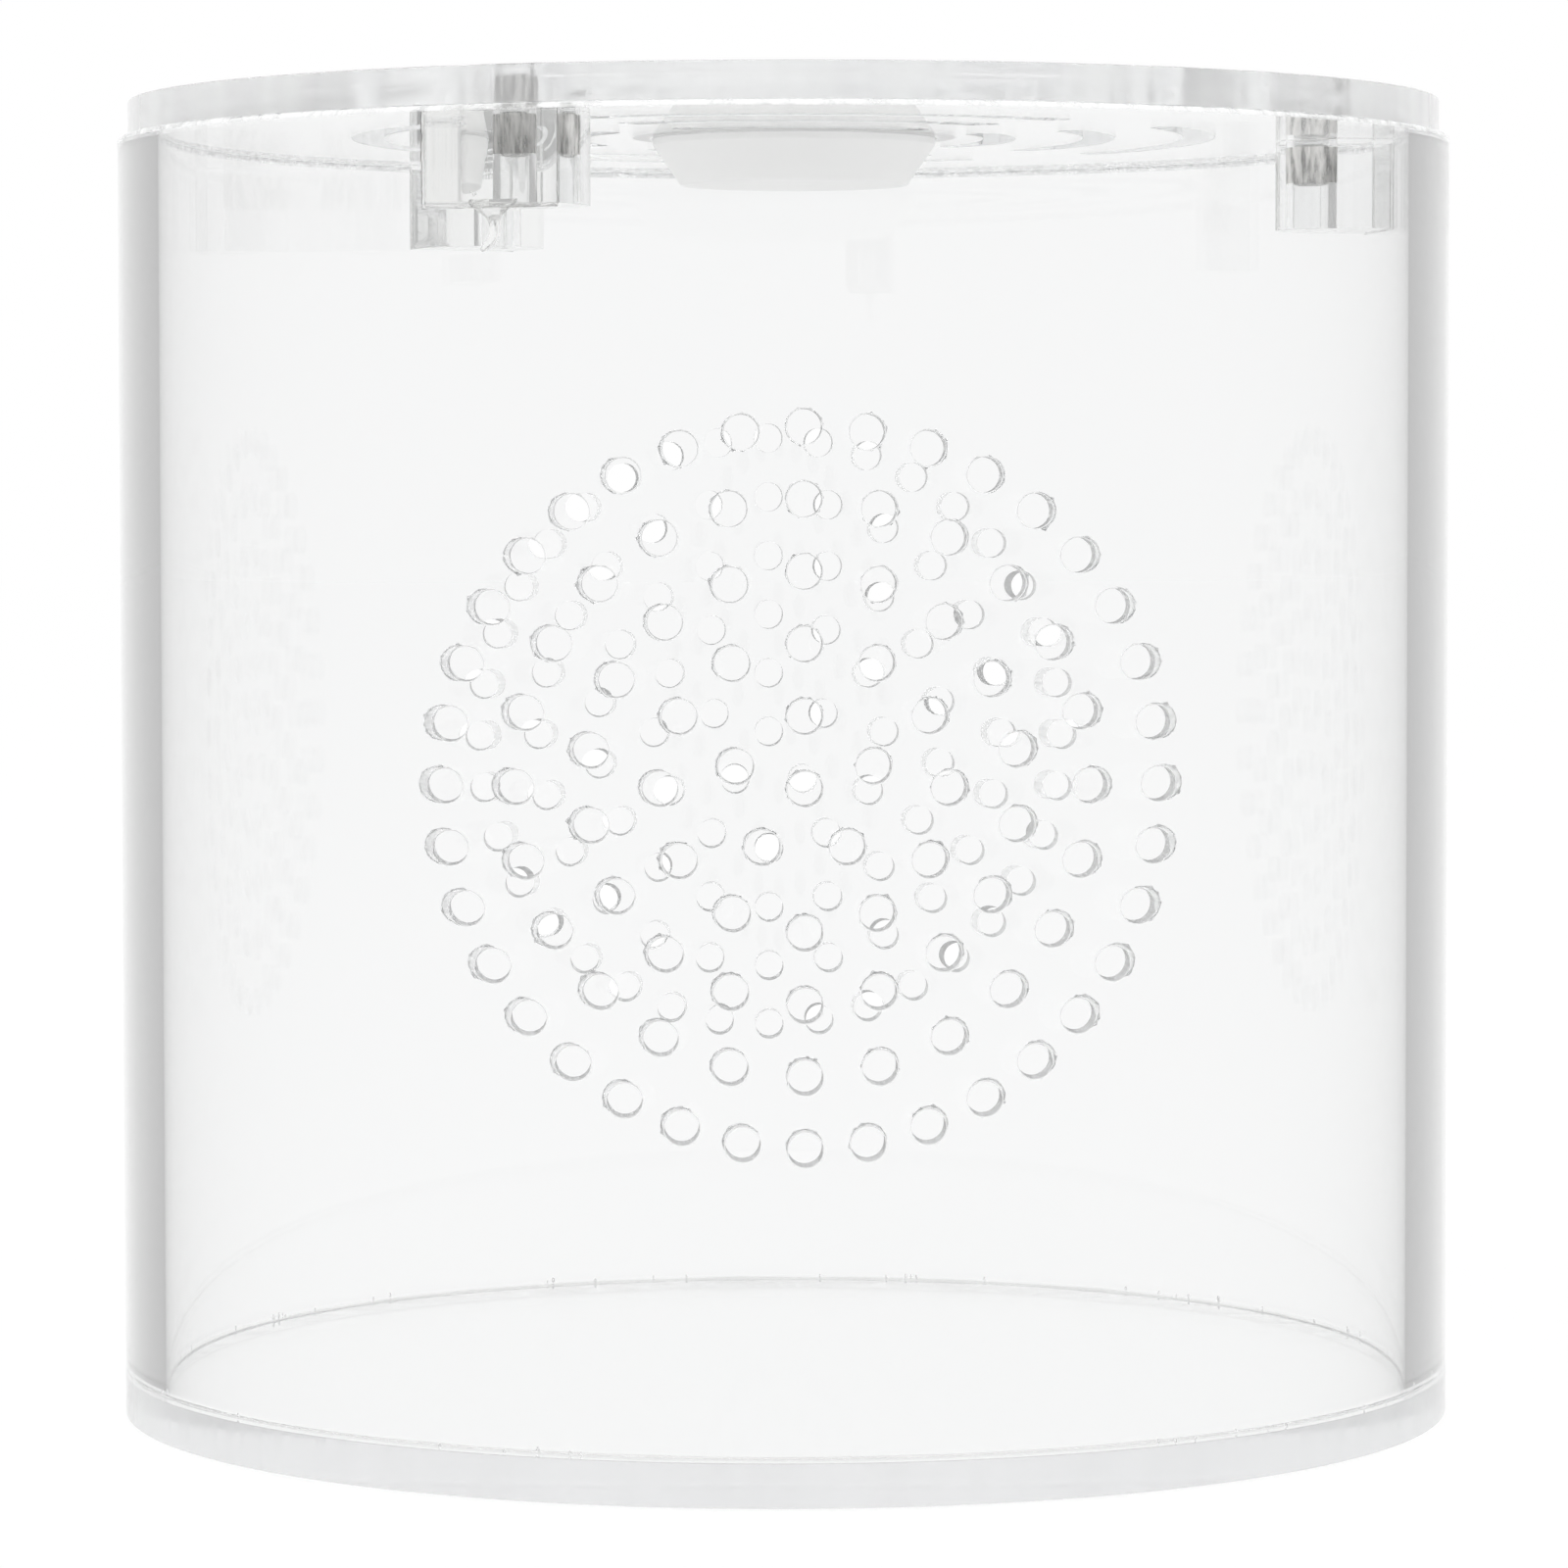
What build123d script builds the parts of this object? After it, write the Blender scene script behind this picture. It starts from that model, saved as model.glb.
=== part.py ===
from build123d import *
from math import asin, cos, degrees, radians, sin, sqrt
import os

# Round clear enclosure for a small spider: a tube cemented to a base disc, a loose vented lid
# held by three pairs of magnets, and a soft stopper in the lid's feeding hole.
# Millimetres. +Z is up, the origin is the middle of the base's underside, and the vents face -Y.
# An azimuth is an angle in plan from the front (-Y) towards the right (+X).

# Tube, and the base disc that is cut flush with it
tube_outer_diameter = 100.0
tube_wall = 3.0
tube_length = 92.4
base_thickness = 3.1

# Vents drilled straight through the front and the back of the tube, one ring round another
vent_diameter = 2.4
vent_ring_spacing = 4.9
vent_ring_counts = (5, 12, 18, 24, 36)
vent_centre_height = 49.0

# Lid
lid_edge_inset = 0.8
lid_thickness = 2.7
slot_width = 2.4
slot_gap_at_feeding_hole = 4.3
slot_ring_spacing = 7.5
slot_ring_count = 3
slots_per_ring = 4
slot_span = 69.0

# Feeding hole and its stopper, a little right of the lid's centre
feeding_hole_offset = 0.8
stopper_diameter = 21.3
stopper_hole_clearance = 0.15
stopper_straight_below_lid = 0.4
stopper_taper_length = 3.0
stopper_tip_diameter = 17.1
stopper_flange_diameter = 25.0
stopper_flange_thickness = 2.0
stopper_edge_radius = 0.5

# Blocks that hold the lower magnets, cemented inside the rim, with a full round inner end
block_width = 9.8
block_height = 6.7
block_straight_length = 3.8
block_angles = {"front": -26.4, "right": 93.6, "rear": -146.4}
cement_film = 0.1
cement_bead = 0.5
cement_below_rim = 0.3

# Magnets, pressed into their holes, which lie nearer to the blocks' round ends than to the wall
magnet_inset = 1.5
magnet_diameter = 3.0
block_magnet_length = 3.0
lid_magnet_length = 2.0
magnet_recess = 0.3

# Run of cement that dried below the front block
drip_width = 2.6
drip_length = 3.4
drip_tip_width = 0.7
drip_depth = 0.6

# Sizes that follow
tube_outer_radius = tube_outer_diameter / 2
tube_inner_radius = tube_outer_radius - tube_wall
vent_radius = vent_diameter / 2
rim_height = base_thickness + tube_length
lid_top = rim_height + lid_thickness
lid_radius = tube_outer_radius - lid_edge_inset
feeding_hole_radius = stopper_diameter / 2 + stopper_hole_clearance
slot_first_radius = feeding_hole_radius + slot_gap_at_feeding_hole + slot_width / 2
magnet_radius = magnet_diameter / 2
block_bottom = rim_height - block_height
block_half_width = block_width / 2
block_back = sqrt((tube_inner_radius - cement_film) ** 2 - block_half_width**2)
block_end_centre_radius = block_back - block_straight_length
magnet_centre_radius = block_end_centre_radius - magnet_inset

os.makedirs("parts", exist_ok=True)


def radial_plane(azimuth, height):
    """Level plane at a height, with its X axis pointing outward along an azimuth."""
    outward = (sin(radians(azimuth)), -cos(radians(azimuth)), 0)
    return Plane(origin=(0, 0, height), x_dir=outward, z_dir=(0, 0, 1))


def tangent_plane(azimuth, height, radius):
    """Upright plane that faces outward at a radius, with its X axis level and its Y axis up."""
    outward = Vector(sin(radians(azimuth)), -cos(radians(azimuth)), 0)
    level = (cos(radians(azimuth)), sin(radians(azimuth)), 0)
    return Plane(origin=outward * radius + Vector(0, 0, height), x_dir=level, z_dir=outward)


def save(part, name):
    """Labels a finished piece and writes its STEP file."""
    part.label = name
    export_step(part, f"parts/{name}.step")


# Base disc
with BuildPart() as base_disc:
    with BuildSketch(Plane.XY):
        Circle(tube_outer_radius)
    extrude(amount=base_thickness)
save(base_disc.part, "base_disc")

# Tube, with each vent drilled through both walls along Y
with BuildPart() as tube:
    with BuildSketch(Plane.XY.offset(base_thickness)):
        Circle(tube_outer_radius)
        Circle(tube_inner_radius, mode=Mode.SUBTRACT)
    extrude(amount=tube_length)
    with BuildSketch(Plane.XZ):
        with Locations((0, vent_centre_height)):
            Circle(vent_radius)
            for ring, count in enumerate(vent_ring_counts, start=1):
                with PolarLocations(ring * vent_ring_spacing, count, start_angle=90):
                    Circle(vent_radius)
    extrude(amount=tube_outer_radius, both=True, mode=Mode.SUBTRACT)
save(tube.part, "tube")

# Bead of cement inside the seam of tube and base
with BuildPart() as base_cement:
    with BuildSketch(Plane.XZ):
        with BuildLine():
            Polyline(
                (tube_inner_radius, base_thickness),
                (tube_inner_radius, base_thickness + cement_bead),
                (tube_inner_radius - cement_bead, base_thickness),
                close=True,
            )
        make_face()
    revolve(axis=Axis.Z)
save(base_cement.part, "base_cement")

# Lid disc, with three rings of curved vent slots, the feeding hole and the magnet holes
with BuildPart() as lid_disc:
    with BuildSketch(Plane.XY.offset(rim_height)):
        Circle(lid_radius)
        with Locations((feeding_hole_offset, 0)):
            Circle(feeding_hole_radius, mode=Mode.SUBTRACT)
        for azimuth in block_angles.values():
            with PolarLocations(magnet_centre_radius, 1, start_angle=azimuth - 90):
                Circle(magnet_radius, mode=Mode.SUBTRACT)
        for ring in range(slot_ring_count):
            radius = slot_first_radius + ring * slot_ring_spacing
            line_span = slot_span - 2 * degrees(asin(slot_width / 2 / radius))
            for slot in range(slots_per_ring):
                middle = block_angles["right"] - 90 + slot * 360 / slots_per_ring
                line = CenterArc((0, 0), radius, middle - line_span / 2, line_span, mode=Mode.PRIVATE)
                SlotArc(line, slot_width, mode=Mode.SUBTRACT)
    extrude(amount=lid_thickness)
save(lid_disc.part, "lid_disc")

# Stopper: a flange on the lid, a body through the hole and a tapered tip below
with BuildPart() as feeding_stopper:
    with BuildSketch(Plane((feeding_hole_offset, 0, 0), x_dir=(1, 0, 0), z_dir=(0, -1, 0))):
        with BuildLine():
            taper_top = rim_height - stopper_straight_below_lid
            tip = taper_top - stopper_taper_length
            Polyline(
                (0, tip),
                (stopper_tip_diameter / 2, tip),
                (stopper_diameter / 2, taper_top),
                (stopper_diameter / 2, lid_top),
                (stopper_flange_diameter / 2, lid_top),
                (stopper_flange_diameter / 2, lid_top + stopper_flange_thickness),
                (0, lid_top + stopper_flange_thickness),
                close=True,
            )
        make_face()
    revolve(axis=Axis((feeding_hole_offset, 0, 0), (0, 0, 1)))
    fillet(feeding_stopper.edges().group_by(Axis.Z)[-1], stopper_edge_radius)
    fillet(feeding_stopper.edges().group_by(Axis.Z)[0], stopper_edge_radius)
save(feeding_stopper.part, "feeding_stopper")

for place, azimuth in block_angles.items():
    # Magnet block: flat back, straight sides, a full round end and the magnet hole
    with BuildPart() as magnet_block:
        with BuildSketch(radial_plane(azimuth, block_bottom)):
            with BuildLine():
                Polyline(
                    (block_end_centre_radius, -block_half_width),
                    (block_back, -block_half_width),
                    (block_back, block_half_width),
                    (block_end_centre_radius, block_half_width),
                )
                CenterArc((block_end_centre_radius, 0), block_half_width, 90, 180)
            make_face()
            with Locations((magnet_centre_radius, 0)):
                Circle(magnet_radius, mode=Mode.SUBTRACT)
        extrude(amount=block_height)
    save(magnet_block.part, f"magnet_block_{place}")

    # Lower magnet, pressed in from the block's top
    with BuildPart() as block_magnet:
        with BuildSketch(radial_plane(azimuth, rim_height - magnet_recess)):
            with Locations((magnet_centre_radius, 0)):
                Circle(magnet_radius)
        extrude(amount=-block_magnet_length)
    save(block_magnet.part, f"block_magnet_{place}")

    # Upper magnet, pressed in from the lid's underside
    with BuildPart() as lid_magnet:
        with BuildSketch(radial_plane(azimuth, rim_height + magnet_recess)):
            with Locations((magnet_centre_radius, 0)):
                Circle(magnet_radius)
        extrude(amount=lid_magnet_length)
    save(lid_magnet.part, f"lid_magnet_{place}")

    # Cement between the block's flat back and the round wall, with a bead up each side
    with BuildPart() as block_cement:
        with BuildSketch(radial_plane(azimuth, block_bottom)):
            with BuildLine():
                side = block_half_width + cement_bead
                on_wall = sqrt(tube_inner_radius**2 - side**2)
                Polyline(
                    (on_wall, side),
                    (block_back - cement_bead, block_half_width),
                    (block_back, block_half_width),
                    (block_back, -block_half_width),
                    (block_back - cement_bead, -block_half_width),
                    (on_wall, -side),
                )
                ThreePointArc((on_wall, -side), (tube_inner_radius, 0), (on_wall, side))
            make_face()
        extrude(amount=block_height - cement_below_rim)
        if place == "front":
            # The dried run, as thick as its depth and bounded outside by the tube's wall
            with BuildSketch(tangent_plane(azimuth, block_bottom, tube_inner_radius)):
                with BuildLine():
                    tip_radius = drip_tip_width / 2
                    Polyline(
                        (-tip_radius, tip_radius - drip_length),
                        (-drip_width / 2, 0),
                        (drip_width / 2, 0),
                        (tip_radius, tip_radius - drip_length),
                    )
                    CenterArc((0, tip_radius - drip_length), tip_radius, 180, 180)
                make_face()
            extrude(amount=-drip_depth)
            with BuildSketch(Plane.XY.offset(block_bottom - drip_length)):
                Circle(tube_outer_radius)
                Circle(tube_inner_radius, mode=Mode.SUBTRACT)
            extrude(amount=drip_length, mode=Mode.SUBTRACT)
    save(block_cement.part, f"block_cement_{place}")
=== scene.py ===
from math import asin, atan2, cos, hypot, lcm, pi, radians, sin, sqrt, tau

import bpy
import numpy as np
from bpy.props import FloatProperty, FloatVectorProperty, IntProperty, IntVectorProperty, PointerProperty
from bpy.types import Operator, Panel, PropertyGroup
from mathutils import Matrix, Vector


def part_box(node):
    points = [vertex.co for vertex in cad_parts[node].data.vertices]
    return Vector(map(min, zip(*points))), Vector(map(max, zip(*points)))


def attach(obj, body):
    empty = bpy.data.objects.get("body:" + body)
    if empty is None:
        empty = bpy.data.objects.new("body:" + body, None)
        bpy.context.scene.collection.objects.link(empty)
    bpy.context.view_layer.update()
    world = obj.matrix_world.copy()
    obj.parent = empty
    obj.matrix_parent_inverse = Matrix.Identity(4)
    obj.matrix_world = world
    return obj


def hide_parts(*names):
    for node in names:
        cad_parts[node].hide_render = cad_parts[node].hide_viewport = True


bl_info = {
    "name": "Spider enclosure",
    "version": (1, 0, 0),
    "blender": (4, 5, 0),
    "location": "View3D > Sidebar > Enclosure",
    "description": "Round clear enclosure with drilled vents, a magnet-held lid and a soft stopper",
    "category": "Object",
}

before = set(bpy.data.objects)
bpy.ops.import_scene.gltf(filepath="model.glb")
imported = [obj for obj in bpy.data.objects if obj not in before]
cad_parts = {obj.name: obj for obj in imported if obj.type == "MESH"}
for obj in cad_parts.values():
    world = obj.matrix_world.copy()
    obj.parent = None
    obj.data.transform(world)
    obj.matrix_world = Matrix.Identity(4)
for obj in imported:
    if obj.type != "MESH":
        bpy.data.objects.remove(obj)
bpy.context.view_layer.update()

MM = 0.001
UP = np.array([0.0, 0.0, 1.0])
PLACES = ("front", "right", "rear")
# How far the cement ran out beside and below each block, as a share of the front block's
RUN_OUT = {"front": 1.0, "right": 0.3, "rear": 0.1}
# Corners that agree within this distance in metres become one vertex
MERGE_WITHIN = 1e-6
# Number of points of the arc on the wall and of each bead in the outline of the cement behind a block
ARC_POINTS, BEAD_POINTS = 33, 6

# Places of the finishes in the lists of materials: the tube's, a sheet's, a block's and the cement's
POLISHED, FRONT_DRILLED, REAR_DRILLED, RUBBED = range(4)
SAWN, CUT = 1, 2
BLOCK_HOLE = 1
DRIED, CLEAR = 0, 1


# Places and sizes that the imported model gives


def box_middle(node):
    """Middle of a node's box at rest."""
    low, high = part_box(node)
    return (np.array(low) + np.array(high)) / 2


def box_span(node):
    """Size of a node's box at rest along X, Y and Z."""
    low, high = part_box(node)
    return np.array(high) - np.array(low)


TUBE_RADIUS = box_span("tube")[1] / 2
SEAM_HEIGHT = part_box("base_disc")[1][2]
RIM_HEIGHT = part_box("tube")[1][2]
LID_RADIUS = box_span("lid_disc")[1] / 2
LID_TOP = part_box("lid_disc")[1][2]
BLOCK_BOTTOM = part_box("magnet_block_front")[0][2]
MAGNET_RADIUS = box_span("block_magnet_front")[0] / 2
STOPPER_X = box_middle("feeding_stopper")[0]
STOPPER_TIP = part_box("feeding_stopper")[0][2]
STOPPER_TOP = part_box("feeding_stopper")[1][2]
FLANGE_RADIUS = box_span("feeding_stopper")[1] / 2


def inner_radius():
    """Inside radius of the tube."""
    return TUBE_RADIUS - bpy.context.scene.enclosure_tube.wall


def block_axes(place):
    """A block's magnet in plan, and the directions outward from the tube's axis and across there."""
    centre = box_middle(f"block_magnet_{place}")[:2]
    outward = centre / hypot(*centre)
    return centre, outward, np.array([-outward[1], outward[0]])


# Sizes and colours that a user would change


def length(name, description, millimetres):
    """A length in metres whose default is given in millimetres."""
    return FloatProperty(
        name=name, description=description, default=millimetres * MM, min=0.0, precision=5, unit="LENGTH"
    )


def colour(name, description, value):
    """A linear colour."""
    return FloatVectorProperty(
        name=name, description=description, default=value, min=0.0, max=1.0, size=3, subtype="COLOR"
    )


def share(name, description, value):
    """A number from 0 to 1."""
    return FloatProperty(
        name=name, description=description, default=value, min=0.0, max=1.0, subtype="FACTOR"
    )


def share_range(name, description, values):
    """The least and the most of a number from 0 to 1."""
    return FloatVectorProperty(
        name=name, description=description, default=values, min=0.0, max=1.0, size=2, subtype="NONE"
    )


class EnclosureTube(PropertyGroup):
    """Sizes of the tube and its vents, and of the edges of tube, base and lid."""

    wall: length("Wall", "Thickness of the tube's wall", 3.0)
    vents: IntVectorProperty(
        name="Vents",
        description="Number of vents in each ring round the middle one",
        default=(5, 12, 18, 24, 36),
        size=5,
        min=1,
    )
    vent_radius: length("Vent radius", "Radius of each drilled vent", 1.2)
    vent_spacing: length("Vent ring spacing", "Distance from one ring of vents to the next", 4.9)
    vent_height: length("Vent height", "Height of the middle vent above the floor", 49.0)
    vent_chip: length("Vent chips", "How far the drill chipped the rims of the front vents", 0.12)
    rear_chips: share("Rear chips", "Chips of the rear vents as a share of the front ones", 0.06)
    edge_round: length("Edge rounding", "Rounding of the lid's edges and of the rim's inner edge", 0.07)
    seam_round: length("Seam rounding", "Rounding of the base's edges and of the tube's lower end", 0.02)
    rim_round: length("Rim rounding", "Rounding of the outer edge of the tube's open end", 0.4)
    rim_chip: length("Rim chips", "How far the saw chipped the edges of the tube's open end", 0.16)


class EnclosureLid(PropertyGroup):
    """Sizes of the lid's slots and feeding hole."""

    slot_width: length("Slot width", "Width of each curved slot", 2.4)
    slot_first: length("First slot radius", "Radius of the first ring of slots", 16.3)
    slot_spacing: length("Slot ring spacing", "Distance from one ring of slots to the next", 7.5)
    slot_rings: IntProperty(name="Slot rings", description="Number of rings of slots", default=3, min=1)
    slots: IntProperty(name="Slots in a ring", description="Number of slots in each ring", default=4, min=1)
    slot_span: FloatProperty(
        name="Slot span", description="Angle of a slot from tip to tip", default=radians(69), unit="ROTATION"
    )
    feeding_radius: length("Feeding hole radius", "Radius of the hole for the stopper", 10.8)
    gap: length("Lid gap", "Air between the lid and the tube's rim", 0.03)


class EnclosureBlocks(PropertyGroup):
    """Sizes of the magnet blocks and their cement."""

    half_width: length("Half width", "Half of a block's width, and the radius of its round end", 4.9)
    straight: length("Straight length", "From the centre of the round end to the flat back", 3.8)
    magnet_inset: length("Magnet inset", "From the centre of the round end inward to the magnet", 1.5)
    edge_round: length("Edge rounding", "Rounding of a block's edges", 0.03)
    bead: length("Bead", "Width of the bead of cement beside a block", 0.5)
    contact: length("Contact", "How far cemented pieces reach into each other", 0.02)
    magnet_glue: length("Magnet glue", "How far a glued magnet reaches into its hole's wall", 0.01)


class EnclosureStopper(PropertyGroup):
    """Sizes of the stopper."""

    body_radius: length("Body radius", "Radius in the feeding hole", 10.65)
    tip_radius: length("Tip radius", "Radius of the lower end", 8.55)
    taper: length("Taper length", "Height of the tapered part", 3.0)
    flange: length("Flange thickness", "Thickness of the flange on the lid", 2.0)
    rounding: length("Rounding", "Rounding of the moulded edges", 0.3)


class EnclosureFinish(PropertyGroup):
    """Colours and surface values of the finishes, and of the studio as seen through them."""

    acrylic: colour("Acrylic", "Tint of the clear acrylic", (0.988, 0.99, 0.99))
    through: share("Seen through", "Brightness of the studio seen through the acrylic", 0.97)
    lid_edge: colour("Lid's edge", "Tint of the lid's saw-cut edge", (0.95, 0.953, 0.955))
    lid_clearness: share_range("Lid's clearness", "Light that passes the lid's saw-cut edge", (0.55, 0.72))
    # Partly the frosted edge's own tint and partly painted shade: the base's edge is tinted darker than the
    # lid's edge of the same sawn acrylic, to stand in for the shade that darkens the base's edge
    base_edge_tint_and_shade: colour("Base's edge", "Tint of the base's saw-cut edge", (0.90, 0.905, 0.91))
    base_clearness: share_range("Base's clearness", "Light that passes the base's saw-cut edge", (0.75, 0.9))
    drilled: colour("Drilled wall", "Tint of the walls of the front vents", (0.965, 0.968, 0.97))
    cut: colour("Cut wall", "Tint of machined walls, the rubbed rim and the rear vents", (0.985, 0.988, 0.99))
    cement: colour("Cement", "Tint of the dried cement", (0.985, 0.985, 0.98))
    silicone: colour("Silicone", "Colour of the milky stopper", (0.84, 0.84, 0.835))
    nickel: colour("Nickel", "Colour of the magnets' plating", (0.80, 0.79, 0.77))
    front_clearness: share("Front vents' clearness", "Light that passes the walls of the front vents", 0.4)
    rear_clearness: share("Rear vents' clearness", "Light that passes the walls of the rear vents", 0.65)
    edge_dimming: share("Edge dimming", "Light lost where it turned back once inside a wall", 0.62)
    deep_dimming: share("Deep dimming", "Light lost where it turned back often inside a wall", 0.06)


GROUPS = {
    "enclosure_tube": EnclosureTube,
    "enclosure_lid": EnclosureLid,
    "enclosure_blocks": EnclosureBlocks,
    "enclosure_stopper": EnclosureStopper,
    "enclosure_finish": EnclosureFinish,
}


# Surfaces worked out as grids


def closed(grid):
    """The grid with its first column repeated after its last."""
    return np.concatenate([grid, grid[..., :1, :]], axis=-2)


def unit(vectors):
    """Vectors scaled to length 1."""
    return vectors / np.linalg.norm(vectors, axis=-1, keepdims=True)


def patch(places, normals, slot=0):
    """Quads of a grid of places, rows by columns, with the outward normal at each corner."""

    def corners(grid):
        parts = [grid[..., :-1, :-1, :], grid[..., :-1, 1:, :], grid[..., 1:, 1:, :], grid[..., 1:, :-1, :]]
        return np.stack(parts, axis=-2).reshape(-1, 4, 3)

    normals = np.broadcast_to(normals, places.shape)
    return corners(places), corners(normals), slot


def mesh_from(name, patches):
    """One closed mesh from patches: corners that coincide become one vertex, a quad turns to face along
    its corners' normals, and a quad with two corners in one place becomes a triangle."""
    places = np.concatenate([p for p, _, _ in patches])
    normals = np.concatenate([n for _, n, _ in patches])
    slots = np.concatenate([np.full(len(p), slot) for p, _, slot in patches])
    facing = np.cross(places[:, 2] - places[:, 0], places[:, 3] - places[:, 1])
    inward = np.einsum("ij,ij->i", facing, normals.sum(axis=1)) < 0
    places[inward] = places[inward][:, ::-1]
    normals[inward] = normals[inward][:, ::-1]

    keys = np.round(places.reshape(-1, 3) / MERGE_WITHIN).astype(np.int64)
    _, first, index = np.unique(keys, axis=0, return_index=True, return_inverse=True)
    index = index.reshape(-1, 4)
    kept = index != np.roll(index, -1, axis=1)
    whole = kept.sum(axis=1) >= 3
    index, kept, normals, slots = index[whole], kept[whole], normals[whole], slots[whole]
    sides = kept.sum(axis=1)

    mesh = bpy.data.meshes.new(name)
    mesh.vertices.add(len(first))
    mesh.vertices.foreach_set("co", places.reshape(-1, 3)[first].ravel())
    mesh.loops.add(int(sides.sum()))
    mesh.loops.foreach_set("vertex_index", index[kept].astype(np.int32))
    mesh.polygons.add(len(sides))
    mesh.polygons.foreach_set("loop_start", (np.cumsum(sides) - sides).astype(np.int32))
    mesh.polygons.foreach_set("material_index", slots.astype(np.int32))
    mesh.update(calc_edges=True)
    mesh.shade_smooth()
    mesh.normals_split_custom_set(unit(normals[kept]))
    return mesh


def add_piece(name, body, node, patches, materials):
    """Puts a finished piece in the scene on its body, in place of its node."""
    mesh = mesh_from(name, patches)
    for material in materials:
        mesh.materials.append(material)
    piece = bpy.data.objects.new(name, mesh)
    bpy.context.scene.collection.objects.link(piece)
    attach(piece, body)
    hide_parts(node)


def waves(angle, frequencies, seed):
    """Sum of cosines of the angle at random frequencies and phases, about 1 high at most. The first axis
    of the angle is one random wave each."""
    random = np.random.default_rng(seed)
    count = angle.shape[0]
    total = np.zeros(angle.shape)
    low, high = frequencies
    terms = 9
    for _ in range(terms):
        frequency = random.integers(low, high, endpoint=True, size=(count, 1))
        phase = random.uniform(0, tau, size=(count, 1))
        total += np.cos(frequency * angle + phase)
    return total / terms


def wavy(angle, mean, swing, frequencies, seed):
    """A mean with one random wave of a swing about it, at each angle of a list."""
    return mean + swing * waves(angle[None], frequencies, seed)[0]


def chips(angle, frequencies, seed, floor):
    """Width of the chips round an edge, from 0 to about 1: the part of a random wave above a floor, twice
    over, because such a wave seldom gets higher than half of its limit."""
    return np.clip(waves(angle, frequencies, seed) - floor, 0, None) / (1 - floor) * 2


def loop_of(radius, angle):
    """Points in a plane at a radius and an angle from its X axis."""
    return np.stack([radius * np.cos(angle), radius * np.sin(angle)], axis=-1)


def cell_outline(inner, outer, count, inner_steps, outer_steps, side_steps):
    """Radius and angle round one cell of a ring of cells: along its outer arc, in along one side, back
    along its inner arc and out along the other side."""
    half = pi / count
    radius = [
        np.full(outer_steps, outer),
        np.linspace(outer, inner, side_steps, endpoint=False),
        np.full(inner_steps, inner),
        np.linspace(inner, outer, side_steps, endpoint=False),
    ]
    angle = [
        np.linspace(-half, half, outer_steps, endpoint=False),
        np.full(side_steps, half),
        np.linspace(half, -half, inner_steps, endpoint=False),
        np.full(side_steps, -half),
    ]
    return np.concatenate(radius), np.concatenate(angle)


def between(inner, outer, rows):
    """Grid of rows that pass in a straight line from the inner loops to the outer ones."""
    step = np.linspace(0, 1, rows + 1).reshape(-1, 1, 1)
    return inner[..., None, :, :] * (1 - step) + outer[..., None, :, :] * step


def raised(loops, height):
    """Loops in plan as points at a height."""
    level = np.broadcast_to(height, loops.shape[:-1])
    return np.concatenate([loops, level[..., None]], axis=-1)


def flat_face(inner, outer, height, up):
    """Level face between closed loops in plan, which faces up for 1 and down for -1."""
    grid = raised(between(closed(inner), closed(outer), 1), height)
    return patch(grid, up * UP)


def upright_wall(line_at, facing, low, high, rounding, slot=0):
    """Upright wall on a line in plan, with a rounding at its lower and upper edge. line_at gives the line
    moved into the material by a distance, and facing the way that the wall faces along it."""
    line, edge = line_at(0.0), line_at(rounding)
    places = [
        raised(edge, high),
        raised(line, high - rounding),
        raised(line, low + rounding),
        raised(edge, low),
    ]
    out = raised(facing, 0.0)
    up = np.broadcast_to(UP, out.shape)
    normals = [up, out, out, -up]
    return patch(np.stack(places, axis=-3), np.stack(normals, axis=-3), slot)


def edge_wall(loop_at, low, high, rounding, slot):
    """Upright wall on a closed loop in plan, which faces away from the material that loop_at moves into."""
    out = closed(-unit(loop_at(np.array(MM)) - loop_at(0.0)))
    return upright_wall(lambda distance: closed(loop_at(distance)), out, low, high, rounding, slot)


def holed_faces(hole, bound, low, high, rounding, slot):
    """Upper and lower face between a hole and its bound, and the hole's wall. hole gives the hole's loop
    moved into the material by a distance."""
    faces = [flat_face(hole(rounding), bound, height, up) for height, up in ((high, 1), (low, -1))]
    return [*faces, edge_wall(hole, low, high, rounding, slot)]


def turned(profile, directions, count, centre):
    """Surface of revolution about an upright axis: a profile of radius and height, with the direction
    that it faces at each point, carried round the axis."""
    angle = np.linspace(0, tau, count + 1)
    radius, height = np.array(profile).T
    face_out, face_up = np.array(directions, float).T

    def swept(out, up, middle):
        x = out[:, None] * np.cos(angle) + middle[0]
        y = out[:, None] * np.sin(angle) + middle[1]
        return np.stack([x, y, np.broadcast_to(up[:, None], x.shape)], axis=-1)

    return patch(swept(radius, height, centre), swept(face_out, face_up, (0, 0)))


def rounded_profile(points, rounding, steps=4):
    """Profile of a turned piece: each corner inside the list is rounded with a circular arc, and each
    point gets the direction that it faces, square to the profile and to its right."""
    points = np.array(points, float)
    ahead = unit(np.diff(points, axis=0))
    facing = np.stack([ahead[:, 1], -ahead[:, 0]], axis=1)
    places, directions = [points[0]], [facing[0]]
    for corner, before, after, face_before, face_after in zip(
        points[1:-1], ahead[:-1], ahead[1:], facing[:-1], facing[1:]
    ):
        turn = np.arccos(np.clip(before @ after, -1, 1))
        reach = rounding * np.tan(turn / 2)
        sign = np.sign(before[0] * after[1] - before[1] * after[0])
        middle = corner - before * reach - sign * face_before * rounding
        for step in np.linspace(0, 1, steps + 1):
            face = unit(face_before * (1 - step) + face_after * step)
            places.append(middle + sign * face * rounding)
            directions.append(face)
    places.append(points[-1])
    directions.append(facing[-1])
    return places, directions


# Materials

ACRYLIC_IOR = 1.49


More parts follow.
